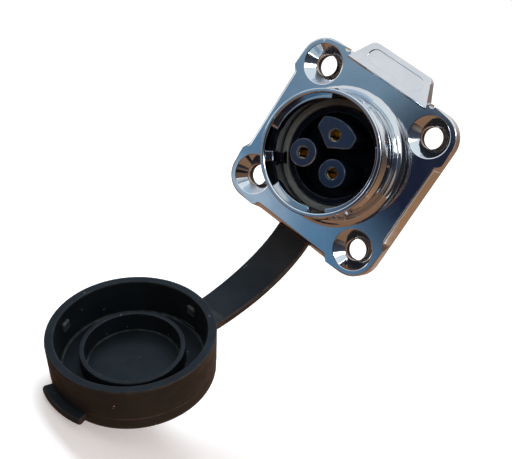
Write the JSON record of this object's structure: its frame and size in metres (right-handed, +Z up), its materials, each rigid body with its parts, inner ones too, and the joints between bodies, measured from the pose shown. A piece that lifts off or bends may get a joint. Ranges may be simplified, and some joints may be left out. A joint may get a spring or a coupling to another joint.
{
  "type": "locking panel socket",
  "caption": "Plated square-flange panel socket with a round locking barrel, female contacts in a towered insulator, a rubber gasket behind the flange and a strapped dust cap.",
  "frame": {"origin": "centre of the flange's back face, on the barrel's axis and at the centre of the mounting holes", "axes": "+Z up to the label tab, +X to the right seen from the front, barrel facing -Y and spigot running to +Y"},
  "size_m": [0.0365, 0.0592, 0.0809],
  "materials": {
    "plated_shell": "polished",
    "insulator": "satin",
    "rear_insulator": "matte",
    "spring_steel": "satin",
    "seal_rubber": "matte",
    "interface_rubber": "matte",
    "contact_gold": "polished",
    "cap_rubber": "satin"
  },
  "bodies": {
    "socket": {"flange_shell": "plated_shell", "front_insulator": "insulator", "rear_insulator": "rear_insulator", "retaining_ring": "spring_steel", "insulator_seal": "seal_rubber", "interface_seal": "interface_rubber", "contact_earth": "contact_gold", "contact_line": "contact_gold", "contact_neutral": "contact_gold", "flange_gasket": "cap_rubber", "tether_strap": "cap_rubber"},
    "cap": {"dust_cap": "cap_rubber"}
  },
  "joints": [
    {"name": "cap_swing", "type": "hinge", "parent": "socket", "child": "cap", "pos_m": [0, -0.0092, -0.0283], "axis": [-0.9873, 0.1581, -0.0175], "range_deg": [-48, 124.8], "stiffness_Nm_per_rad": 0.0015, "springref_deg": 30.21, "deforming": ["tether_strap"]}
  ]
}
